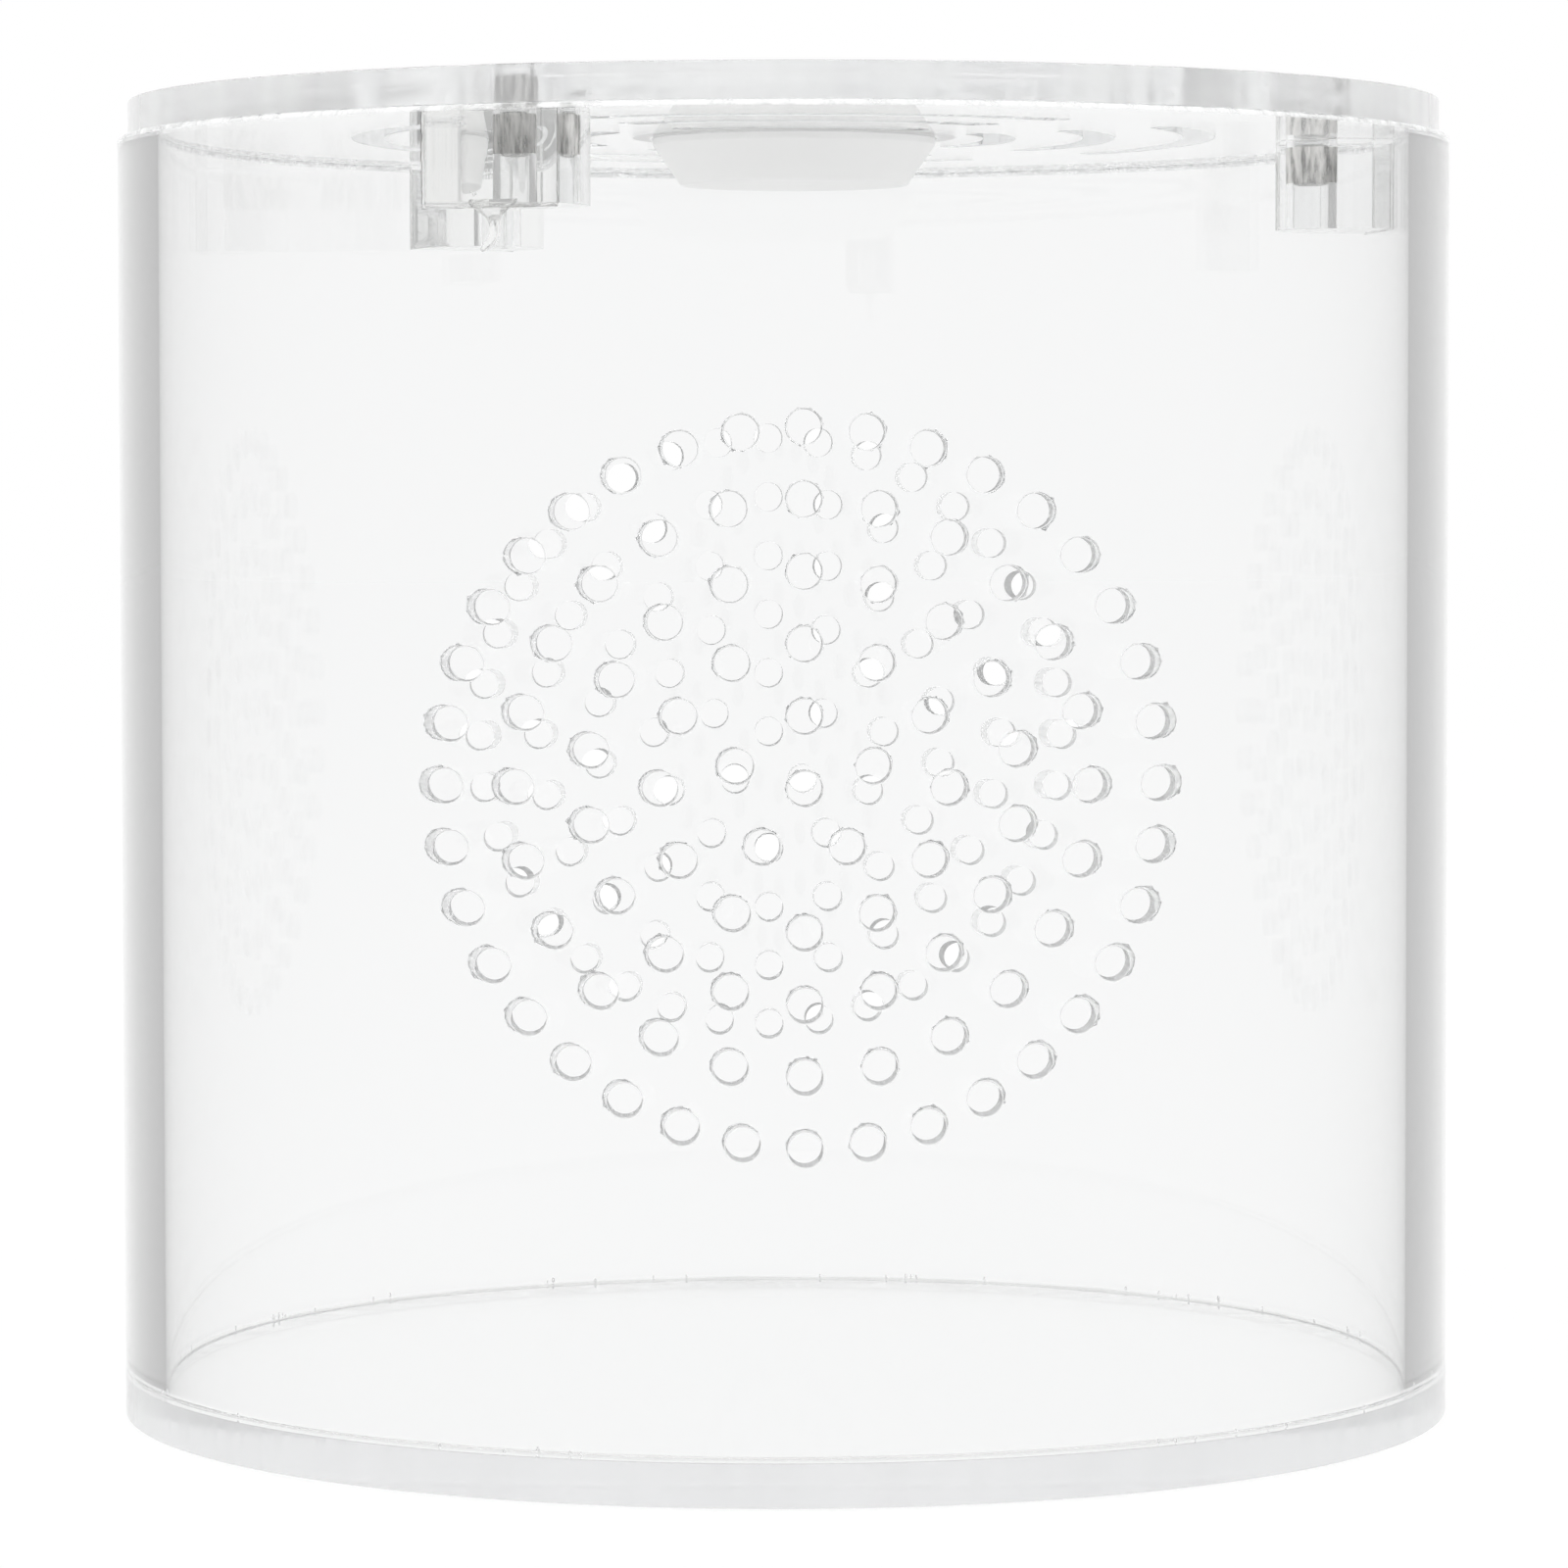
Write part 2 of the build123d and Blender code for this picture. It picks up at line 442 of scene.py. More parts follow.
def new_material(name, values):
    """A material whose principled shader is set to these values, with its node tree and that shader's
    sockets."""
    material = bpy.data.materials.new(name)
    material.use_nodes = True
    sockets = material.node_tree.nodes["Principled BSDF"].inputs
    for socket, value in values.items():
        sockets[socket].default_value = value
    return material, material.node_tree, sockets


def object_noise(tree, scale, stretch=(1, 1, 1), detail=4.0):
    """Noise on Object coordinates, with features of 1 / scale metres, stretched along X, Y and Z."""
    coordinates = tree.nodes.new("ShaderNodeTexCoord")
    mapping = tree.nodes.new("ShaderNodeMapping")
    mapping.inputs["Scale"].default_value = stretch
    noise = tree.nodes.new("ShaderNodeTexNoise")
    noise.inputs["Scale"].default_value = scale
    noise.inputs["Detail"].default_value = detail
    tree.links.new(coordinates.outputs["Object"], mapping.inputs["Vector"])
    tree.links.new(mapping.outputs["Vector"], noise.inputs["Vector"])
    return noise.outputs["Fac"]


def ranged(tree, source, low, high, start=0.0, end=1.0):
    """The source's values from start to end, spread from low to high."""
    spread = tree.nodes.new("ShaderNodeMapRange")
    for name, value in (("From Min", start), ("From Max", end), ("To Min", low), ("To Max", high)):
        spread.inputs[name].default_value = value
    tree.links.new(source, spread.inputs["Value"])
    return spread.outputs["Result"]


def bumped(tree, heights, strength, distance):
    """Normal of a surface that the heights raise by a distance in metres."""
    bump = tree.nodes.new("ShaderNodeBump")
    bump.inputs["Strength"].default_value = strength
    bump.inputs["Distance"].default_value = distance
    tree.links.new(heights, bump.inputs["Height"])
    return bump.outputs["Normal"]


def clear_plastic(name, tint, roughness, scale, relief=0.0, stretch=(1, 1, 1), clearness=1.0, gloss=1.0):
    """Clear plastic, whose roughness and fine relief follow one noise. Roughness is its least and most,
    scale the noise's, relief a height in metres, clearness the share of light that passes, and gloss is 1
    for the full gloss of smooth plastic."""
    values = {
        "Base Color": (*tint, 1),
        "Transmission Weight": clearness,
        "IOR": ACRYLIC_IOR,
        "Specular IOR Level": 0.5 * gloss,
    }
    material, tree, sockets = new_material(name, values)
    noise = object_noise(tree, scale, stretch)
    tree.links.new(ranged(tree, noise, *roughness, start=0.35, end=0.7), sockets["Roughness"])
    if relief:
        tree.links.new(bumped(tree, noise, 1.0, relief), sockets["Normal"])
    return material


def polished_acrylic():
    """Clear sheet and tube, a little smudged and with the tube's faint drawn streaks."""
    tint = bpy.context.scene.enclosure_finish.acrylic
    return clear_plastic("polished_acrylic", tint, (0.0, 0.012), scale=60, stretch=(1, 1, 0.15))


def sawn_acrylic(name, tint, clearness):
    """Saw-cut edge: frosted and whitish, clearer in places, with soft upright marks of the blade.
    Clearness is the least and the most light that passes."""
    material, tree, sockets = new_material(name, {"Base Color": (*tint, 1), "IOR": ACRYLIC_IOR})
    marks = object_noise(tree, scale=1100, stretch=(1, 1, 0.02), detail=2.0)
    places = object_noise(tree, scale=120, stretch=(1, 1, 0.1), detail=2.0)
    tree.links.new(ranged(tree, marks, 0.05, 0.14, start=0.35, end=0.65), sockets["Roughness"])
    tree.links.new(ranged(tree, places, *clearness, start=0.35, end=0.65), sockets["Transmission Weight"])
    tree.links.new(bumped(tree, marks, strength=0.3, distance=0.003 * MM), sockets["Normal"])
    return material


def drilled_acrylic(name, tint, clearness, gloss):
    """Drilled wall: slightly frosted, with rings left by the drill along Y."""
    stretch = (0.3, 1.6, 0.3)
    return clear_plastic(name, tint, (0.05, 0.22), 2500, 0.01 * MM, stretch, clearness, gloss)


def cut_acrylic():
    """Machined wall of a slot or a hole in sheet: clear, with faint upright marks."""
    tint = bpy.context.scene.enclosure_finish.cut
    return clear_plastic("cut_acrylic", tint, (0.02, 0.10), 2200, 0.005 * MM, (1, 1, 0.05), clearness=0.85)


def rubbed_acrylic():
    """Rim of the tube: sawn and then rubbed, so whitish, with clearer chips."""
    tint = bpy.context.scene.enclosure_finish.cut
    values = {"Base Color": (*tint, 1), "IOR": ACRYLIC_IOR, "Roughness": 0.15}
    material, tree, sockets = new_material("rubbed_acrylic", values)
    places = object_noise(tree, scale=700, detail=3.0)
    tree.links.new(ranged(tree, places, 0.15, 0.8, start=0.4, end=0.65), sockets["Transmission Weight"])
    return material


def dried_cement():
    """Dried cement: clear, wrinkled where it shrank."""
    tint = bpy.context.scene.enclosure_finish.cement
    return clear_plastic("dried_cement", tint, (0.0, 0.06), scale=900, relief=0.02 * MM)


def clear_cement():
    """Cement where it wets two faces: quite clear, with hardly any haze."""
    tint = bpy.context.scene.enclosure_finish.cement
    return clear_plastic("clear_cement", tint, (0.0, 0.02), scale=300)


def milky_silicone():
    """Soft milky silicone with a faint moulded skin."""
    values = {
        "Base Color": (*bpy.context.scene.enclosure_finish.silicone, 1),
        "Subsurface Weight": 0.2,
        "Subsurface Radius": (1.0, 1.0, 1.0),
        "Subsurface Scale": 2 * MM,
        "IOR": 1.41,
    }
    material, tree, sockets = new_material("milky_silicone", values)
    skin = object_noise(tree, scale=900)
    tree.links.new(ranged(tree, skin, 0.38, 0.55, start=0.3, end=0.7), sockets["Roughness"])
    tree.links.new(bumped(tree, skin, strength=0.4, distance=0.04 * MM), sockets["Normal"])
    return material


def nickel_plating():
    """Bright nickel plating with fine scratch marks along the magnet, which bump and roughen it; the same
    noise darkens the plating's colour along the marks, which is painted shade at their bottom.
    """
    nickel = bpy.context.scene.enclosure_finish.nickel
    scratch_shade_share = 0.36
    material, tree, sockets = new_material("nickel_plating", {"Metallic": 1.0})
    scratches_and_shade = object_noise(tree, scale=2400, stretch=(1, 1, 0.18), detail=8.0)
    # Painted shade: the ramp darkens the plating's colour to a share of the nickel where the scratch noise is
    # low
    ramp = tree.nodes.new("ShaderNodeValToRGB")
    dark, bright = ramp.color_ramp.elements
    dark.position = 0.38
    dark.color = (*[scratch_shade_share * part for part in nickel], 1)
    bright.position = 0.62
    bright.color = (*nickel, 1)
    tree.links.new(scratches_and_shade, ramp.inputs["Fac"])
    tree.links.new(ramp.outputs["Color"], sockets["Base Color"])
    tree.links.new(ranged(tree, scratches_and_shade, 0.18, 0.42, start=0.3, end=0.7), sockets["Roughness"])
    tree.links.new(bumped(tree, scratches_and_shade, strength=0.5, distance=0.03 * MM), sockets["Normal"])
    return material


# The tube


def boundary_steps(counts, spacing):
    """Number of points on each circle between rings of cells. It suits the cells on both of its sides, as
    a multiple of twice each count, and sets the points about a fixed distance apart."""
    step_length = 0.45 * MM
    steps = []
    for ring, (inside, outside) in enumerate(zip((1, *counts), (*counts, 1))):
        base = lcm(2 * inside, 2 * outside)
        circumference = tau * (ring + 0.5) * spacing
        steps.append(base * max(1, round(circumference / step_length / base)))
    return steps


def on_wall(plan, radius, side):
    """Points of the plane of the vents, X and height, moved along Y on to a cylinder. Side is -1 for its
    front and 1 for its rear."""
    x, height = plan[..., 0], plan[..., 1]
    return np.stack([x, side * np.sqrt(np.maximum(radius**2 - x**2, 0)), height], axis=-1)


def around_axis(places):
    """Directions away from the tube's axis at places on it."""
    return unit(places * np.array([1.0, 1.0, 0.0]))


def vent_patches(centres, cells, radii, sizes, side, seed):
    """Cells of the wall with a vent in each. From the vent's chipped rim the face runs out in straight
    lines to the cell's outline, and the vent's wall runs straight along Y. The drill, which came from the
    front, chipped the rims where it left the front wall most, and the rear wall's rims least."""
    outer, inner = radii
    spoke = cells - centres[:, None]
    angle = np.arctan2(spoke[..., 1], spoke[..., 0])
    spoke = loop_of(1.0, angle)
    chipped = sizes.vent_chip if side < 0 else sizes.vent_chip * sizes.rear_chips
    frequencies, floor = (5, 17), 0.1
    even_out, uneven_out, even_in, uneven_in = 0.6, 0.7, 0.5, 1.3
    chip_out = chipped * (even_out + uneven_out * chips(angle, frequencies, seed, floor))
    chip_in = chipped * (even_in + uneven_in * chips(angle, frequencies, seed + 1, floor))

    def ring(extra):
        return closed(centres[:, None] + spoke * (sizes.vent_radius + extra)[..., None])

    made = []
    for radius, chip, sign in ((outer, chip_out, 1), (inner, chip_in, -1)):
        grid = on_wall(between(ring(chip), closed(cells), 2), radius, side)
        made.append(patch(grid, sign * around_axis(grid)))

    facing = closed(np.stack([-spoke[..., 0], np.zeros_like(angle), -spoke[..., 1]], axis=-1))
    none = np.zeros_like(angle)
    bevel = 0.6 * chipped / sizes.wall
    stations = ((chip_out, 0, 1), (none, bevel, 0), (none, 0.5, 0), (none, 1 - bevel, 0), (chip_in, 1, -1))
    rows, normals = [], []
    for extra, depth, lean in stations:
        plan = ring(extra)
        place = on_wall(plan, outer, side) * (1 - depth) + on_wall(plan, inner, side) * depth
        rows.append(place)
        normals.append(facing + lean * around_axis(place))
    slot = FRONT_DRILLED if side < 0 else REAR_DRILLED
    made.append(patch(np.stack(rows, axis=1), np.stack(normals, axis=1), slot))
    return made


def barrel_corners(steps, half_length, low, high):
    """Steps at which the outline of half of the unrolled tube turns its upper and its lower left corner,
    each the step nearest to the corner's direction from the vents' middle."""
    turns = (atan2(high, -half_length), atan2(low, -half_length))
    return [round(((turn - pi / 2) % tau) / tau * steps) for turn in turns]


def barrel_outline(steps, corners, half_length, low, high):
    """Outline of half of the tube, unrolled flat about the vents' middle: from the middle of its top edge
    round by its left, the same on both sides."""
    upper, lower = corners
    stops = [0, upper, lower, steps - lower, steps - upper, steps]
    across = [0, -half_length, -half_length, half_length, half_length, 0]
    heights = [high, high, low, low, high, high]
    step = np.arange(steps)
    return np.stack([np.interp(step, stops, across), np.interp(step, stops, heights)], axis=-1)


def tube_patches():
    """The tube: rings of cells with vents on its front and rear, and the rest of each half as lines from
    the last ring to the half's outline, unrolled about the axis. Its sawn ends are rounded and chipped."""
    sizes = bpy.context.scene.enclosure_tube
    counts, spacing = tuple(sizes.vents), sizes.vent_spacing
    radii = (TUBE_RADIUS, inner_radius())
    low, high = SEAM_HEIGHT - bpy.context.scene.enclosure_blocks.contact, RIM_HEIGHT
    steps = boundary_steps(counts, spacing)
    side_steps, rest_rows = 7, 24
    middle = np.array([0.0, sizes.vent_height])
    bottom = low + sizes.seam_round - middle[1]
    tops = (high - sizes.rim_round - middle[1], high - sizes.edge_round - middle[1])
    corners = barrel_corners(steps[-1], sum(radii) / 2 * pi / 2, bottom, tops[1])

    def circle(radius, count):
        return loop_of(radius * spacing, pi / 2 + np.arange(count) * tau / count)

    made = []
    for side in (-1, 1):
        start = circle(0.5, steps[0])
        made += vent_patches(middle[None], middle + start[None], radii, sizes, side, 10 + side)
        for ring, count in enumerate(counts, start=1):
            inside, outside = steps[ring - 1] // count, steps[ring] // count
            inner, outer = (ring - 0.5) * spacing, (ring + 0.5) * spacing
            radius, angle = cell_outline(inner, outer, count, inside, outside, side_steps)
            turn = pi / 2 + np.arange(count) * tau / count
            cells = middle + loop_of(radius, turn[:, None] + angle)
            made += vent_patches(middle + circle(ring, count), cells, radii, sizes, side, 20 * ring + side)

        last = circle(len(counts) + 0.5, steps[-1])
        for radius, sign, top in zip(radii, (1, -1), tops):
            arc = np.stack([radius * np.arcsin(last[:, 0] / radius), last[:, 1]], axis=-1)
            outline = barrel_outline(steps[-1], corners, radius * pi / 2, bottom, top)
            flat = between(closed(arc), closed(outline), rest_rows)
            turn, height = flat[..., 0] / radius, flat[..., 1] + middle[1]
            grid = np.stack([radius * np.sin(turn), side * radius * np.cos(turn), height], axis=-1)
            made.append(patch(grid, sign * around_axis(grid)))

    upper, lower = corners
    made.append(tube_end(radii, high, 1, 4 * upper, sizes.rim_round, sizes.rim_chip, RUBBED, 300))
    made.append(tube_end(radii, low, -1, 2 * (steps[-1] - 2 * lower), sizes.seam_round, 0.0, POLISHED, 301))
    return made


def tube_end(radii, height, up, steps, outer_round, chip, slot, seed):
    """Sawn end of the tube: a quarter of a circle from the outer face, a level ring and a short slope to
    the inner face. Chips widen both edges here and there, most at the front and least at the rear."""
    outer, inner = radii
    angle = np.linspace(0, tau, steps + 1)
    mean, front_more, inner_share = 0.6, 0.4, 0.4
    outer_frequencies, inner_frequencies = (40, 170), (60, 240)
    chip = chip * (mean - front_more * np.sin(angle))
    rounding = min(bpy.context.scene.enclosure_tube.edge_round, outer_round)
    ragged = chip * chips(angle[None], outer_frequencies, seed, floor=0.3)[0]
    notched = rounding + inner_share * chip * chips(angle[None], inner_frequencies, seed + 50, floor=0.35)[0]
    out = raised(loop_of(1.0, angle), 0.0)
    lift = np.broadcast_to(up * UP, out.shape)

    def row(radius, below):
        return raised(loop_of(np.broadcast_to(radius, angle.shape), angle), height - up * below)

    places, normals = [], []
    for bend in np.linspace(0, pi / 2, 7):
        cut_back = outer_round * (1 - cos(bend)) + ragged * sin(bend) ** 4
        places.append(row(outer - cut_back, outer_round * (1 - sin(bend))))
        normals.append(out * cos(bend) + lift * sin(bend))
    places += [row(inner + notched, 0), row(inner, rounding)]
    normals += [lift, -out]
    return patch(np.stack(places), np.stack(normals), slot)


# Sheet pieces: base, lid and blocks


def base_patches():
    """Base disc: two polished faces and a sawn edge, rounded a little."""
    rounding = bpy.context.scene.enclosure_tube.seam_round
    steps = 864
    angle = np.arange(steps) * tau / steps
    low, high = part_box("base_disc")[0][2], SEAM_HEIGHT

    def rim(into):
        return loop_of(TUBE_RADIUS - into, angle)

    edge = rim(rounding)
    faces = [flat_face(edge * 0, edge, height, up) for height, up in ((high, 1), (low, -1))]
    return [*faces, edge_wall(rim, low, high, rounding, SAWN)]


def slot_outline(radius, half_width, span, arc_steps, end_steps):
    """Radius and angle round a curved slot, in the order of a cell's outline: along its outer arc, round
    one end, back along its inner arc and round the other end. Its ends are half circles about the ends of
    its middle line."""
    reach = span / 2 - asin(half_width / radius)
    turn = np.linspace(0, pi, end_steps, endpoint=False)

    def end(middle, start):
        points = loop_of(radius, middle) + loop_of(half_width, middle + start + turn)
        return np.hypot(points[:, 0], points[:, 1]), np.arctan2(points[:, 1], points[:, 0])

    first_radius, first_angle = end(reach, 0.0)
    last_radius, last_angle = end(-reach, pi)
    outer = np.full(arc_steps, radius + half_width)
    inner = np.full(arc_steps, radius - half_width)
    sweep = np.linspace(-reach, reach, arc_steps, endpoint=False)
    return (
        np.concatenate([outer, first_radius, inner, last_radius]),
        np.concatenate([sweep, first_angle, -sweep, last_angle]),
    )


def lid_patches():
    """Lid disc, cut into rings of cells: a ring round the feeding hole, one for each ring of slots, and an
    outer ring of narrow cells, three of which hold the magnets."""
    sizes = bpy.context.scene.enclosure_lid
    low, high = RIM_HEIGHT + sizes.gap, LID_TOP
    rounding = bpy.context.scene.enclosure_tube.edge_round
    steps, end_steps, side_steps, outer_cells = 720, 16, 6, 12
    slot_steps, outer_steps = steps // sizes.slots, steps // outer_cells
    magnet = box_middle("lid_magnet_right")
    turn = atan2(magnet[1], magnet[0])
    circle = turn + pi / sizes.slots + np.arange(steps) * tau / steps
    ring = loop_of(sizes.slot_first - sizes.slot_spacing / 2, circle)
    centre = np.array([STOPPER_X, 0.0])
    spoke = unit(ring - centre)

    def feeding(into):
        return centre + spoke * (sizes.feeding_radius + into)

    made = holed_faces(feeding, ring, low, high, rounding, CUT)

    turns = (turn + np.arange(sizes.slots) * tau / sizes.slots)[:, None]
    for index in range(sizes.slot_rings):
        radius = sizes.slot_first + index * sizes.slot_spacing
        inner, outer = radius - sizes.slot_spacing / 2, radius + sizes.slot_spacing / 2
        far, angle = cell_outline(inner, outer, sizes.slots, slot_steps, slot_steps, end_steps)

        def slots(into, radius=radius):
            half_width, span = sizes.slot_width / 2 + into, sizes.slot_span + 2 * into / radius
            far, angle = slot_outline(radius, half_width, span, slot_steps, end_steps)
            return loop_of(far, turns + angle)

        made += holed_faces(slots, loop_of(far, turns + angle), low, high, rounding, CUT)

    last = sizes.slot_first + (sizes.slot_rings - 0.5) * sizes.slot_spacing
    edge = LID_RADIUS - rounding
    far, angle = cell_outline(last, edge, outer_cells, outer_steps, outer_steps, side_steps)
    turns = (turn + np.array([-1, 0, 1]) * tau / len(PLACES))[:, None]
    centres = loop_of(hypot(*magnet[:2]), turns)
    cells = loop_of(far, turns + angle)
    spokes = unit(cells - centres)

    def magnet_holes(into):
        return centres + spokes * (MAGNET_RADIUS + into)

    made += holed_faces(magnet_holes, cells, low, high, rounding / 2, CUT)

    half = pi / outer_cells
    for plain in range(outer_cells):
        if plain % (outer_cells // len(PLACES)):
            sweep = turn + plain * tau / outer_cells + np.linspace(-half, half, outer_steps + 1)
            grid = between(loop_of(last, sweep), loop_of(edge, sweep), side_steps)
            made += [patch(raised(grid, height), up * UP) for height, up in ((high, 1), (low, -1))]

    made.append(edge_wall(lambda into: loop_of(LID_RADIUS - into, circle), low, high, rounding, SAWN))
    return made


def block_patches(place):
    """Magnet block: a flat back, straight sides and a round inner end, worked out as spokes from its
    magnet's hole to the outline."""
    sizes = bpy.context.scene.enclosure_blocks
    rounding = sizes.edge_round
    centre, outward, across = block_axes(place)
    side_steps, back_steps, round_steps = 6, 12, 36

    def local_outline(into):
        half, back = sizes.half_width - into, sizes.straight + sizes.contact - into
        side = np.linspace(0, 1, side_steps, endpoint=False)
        edge = np.linspace(-1, 1, back_steps, endpoint=False)
        bend = np.linspace(pi / 2, 3 * pi / 2, round_steps, endpoint=False)
        x = [back * side, np.full(back_steps, back), back * (1 - side), half * np.cos(bend)]
        y = [np.full(side_steps, -half), half * edge, np.full(side_steps, half), half * np.sin(bend)]
        return sizes.magnet_inset + np.concatenate(x), np.concatenate(y)

    spoke_x, spoke_y = local_outline(0.0)
    spoke_turn = np.arctan2(spoke_y, spoke_x)

    def in_plan(x, y):
        return centre + np.multiply.outer(x, outward) + np.multiply.outer(y, across)

    def outline(into):
        return in_plan(*local_outline(into))

    def hole(into):
        radius = MAGNET_RADIUS + into
        return in_plan(radius * np.cos(spoke_turn), radius * np.sin(spoke_turn))

    low, high = BLOCK_BOTTOM, RIM_HEIGHT - sizes.contact
    made = holed_faces(hole, outline(rounding), low, high, rounding / 2, BLOCK_HOLE)
    stops = np.cumsum([0, side_steps, back_steps, side_steps, round_steps])
    bend = np.linspace(pi / 2, 3 * pi / 2, round_steps + 1)
    ways = (
        np.tile(-across, (side_steps + 1, 1)),
        np.tile(outward, (back_steps + 1, 1)),
        np.tile(across, (side_steps + 1, 1)),
        np.multiply.outer(np.cos(bend), outward) + np.multiply.outer(np.sin(bend), across),
    )
    for start, stop, facing in zip(stops[:-1], stops[1:], ways):

        def stretch(into, start=start, stop=stop):
            return closed(outline(into))[start : stop + 1]

        made.append(upright_wall(stretch, facing, low, high, rounding))
    return made


# Turned pieces: magnets and stopper


def magnet_patches(node):
    """Magnet: a turned rod with rounded ends, wetted all round by its glue."""
    low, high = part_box(node)[0][2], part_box(node)[1][2]
    radius = MAGNET_RADIUS + bpy.context.scene.enclosure_blocks.magnet_glue
    corners = [(0, low), (radius, low), (radius, high), (0, high)]
    places, directions = rounded_profile(corners, rounding=0.2 * MM)
    return [turned(places, directions, count=48, centre=box_middle(node)[:2])]


def stopper_patches():
    """Stopper: a turned profile from the middle of its tip out along the taper, up the body, round the
    flange and back to the middle of its top."""
    sizes = bpy.context.scene.enclosure_stopper
    flange_bottom = STOPPER_TOP - sizes.flange
    corners = [
        (0, STOPPER_TIP),
        (sizes.tip_radius, STOPPER_TIP),
        (sizes.body_radius, STOPPER_TIP + sizes.taper),
        (sizes.body_radius, flange_bottom),
        (FLANGE_RADIUS, flange_bottom),
        (FLANGE_RADIUS, STOPPER_TOP),
        (0, STOPPER_TOP),
    ]
    places, directions = rounded_profile(corners, sizes.rounding, steps=6)
    return [turned(places, directions, count=144, centre=(STOPPER_X, 0.0))]


# Cement


def bead_patches():
    """Bead in the seam of tube and base: a hollow arc from the base up to the wall, whose width and height
    wave round the seam, closed by two faces that reach a little into base and wall."""
    sizes = bpy.context.scene.enclosure_blocks
    contact, inner = sizes.contact, inner_radius()
    steps, arc_steps, frequencies = 720, 6, (2, 40)
    angle = np.linspace(0, tau, steps + 1)
    width = sizes.bead * wavy(angle, 0.5, 0.2, frequencies, seed=5)
    height = sizes.bead * wavy(angle, 0.35, 0.15, frequencies, seed=6)
    bend = np.linspace(0, pi / 2, arc_steps + 1)
    across = inner - width[None] * (1 - np.sin(bend))[:, None]
    above = SEAM_HEIGHT + height[None] * (1 - np.cos(bend))[:, None]

    def ring(far, level):
        return raised(loop_of(np.broadcast_to(far, angle.shape), angle), level)

    out = ring(1.0, 0.0)
    hollow = np.stack([ring(far, level) for far, level in zip(across, above)])
    facing = np.stack([-out * sin(b) + UP * cos(b) for b in bend])
    upper = ring(inner + contact, above[-1])
    corner = ring(inner + contact, SEAM_HEIGHT - contact)
    lower = ring(across[0], SEAM_HEIGHT - contact)
    return [
        patch(hollow, facing),
        patch(np.stack([upper, hollow[-1]]), UP),
        patch(np.stack([upper, corner]), out),
        patch(np.stack([corner, lower]), -UP),
        patch(np.stack([lower, hollow[0]]), -out),
    ]


def cement_outline(place, heights):
    """Outline in plan of the cement behind a block at each height: an arc on the wall, a hollow bead
    beside the block, a straight line on its back and the other bead. The beads' widths wave up the block,
    and the bead on the side that the cement ran to is wider. Points are distances outward and across."""
    sizes = bpy.context.scene.enclosure_blocks
    seed, uneven = PLACES.index(place), RUN_OUT[place]
    back = hypot(*block_axes(place)[0]) + sizes.magnet_inset + sizes.straight
    half, wall = sizes.half_width, inner_radius() + sizes.contact
    level, frequencies = (heights - heights[0]) / (heights[-1] - heights[0]) * tau, (1, 9)
    wide = sizes.bead * wavy(level, 0.55, 0.25 * uneven, frequencies, 50 + seed)
    narrow = sizes.bead * wavy(level, 0.25, 0.15 * uneven, frequencies, 60 + seed)
    along, aside = 0.8, 0.12

    def bead_curve(width):
        part = np.linspace(0, 1, BEAD_POINTS + 1)[1:, None]
        rest = 1 - part
        start = np.stack([np.sqrt(wall**2 - (half + width) ** 2), half + width])
        stop = np.stack([back - width, np.full_like(width, half)])
        middle = np.stack([stop[0] + along * (start[0] - stop[0]), half + aside * width])
        return rest**2 * start[:, None] + 2 * part * rest * middle[:, None] + part**2 * stop[:, None]

    sweep = np.linspace(0, 1, ARC_POINTS)[:, None]
    turn = -np.arcsin((half + wide) / wall) * (1 - sweep) + np.arcsin((half + narrow) / wall) * sweep
    arc = wall * np.stack([np.cos(turn), np.sin(turn)])
    behind = np.stack([np.full((2, len(heights)), back), np.array([[half], [-half]]) * np.ones(len(heights))])
    other = bead_curve(wide)[:, ::-1] * np.array([1, -1]).reshape(2, 1, 1)
    outline = np.concatenate([arc, bead_curve(narrow), behind, other], axis=1)
    return np.moveaxis(outline, 0, -1).swapaxes(0, 1)


def placed_at(place, flat):
    """Points given as distance outward and distance across, as places in plan at a block."""
    _, outward, across = block_axes(place)
    return flat[..., :1] * outward + flat[..., 1:2] * across


def facing_of(plan):
    """Direction in plan, square to the right of each closed line, at each of its points."""
    ahead = plan[:, 1:] - plan[:, :-1]
    ahead = (closed(ahead) + np.concatenate([ahead[:, -1:], ahead], axis=1)) / 2
    return raised(unit(np.stack([ahead[..., 1], -ahead[..., 0]], axis=-1)), 0.0)


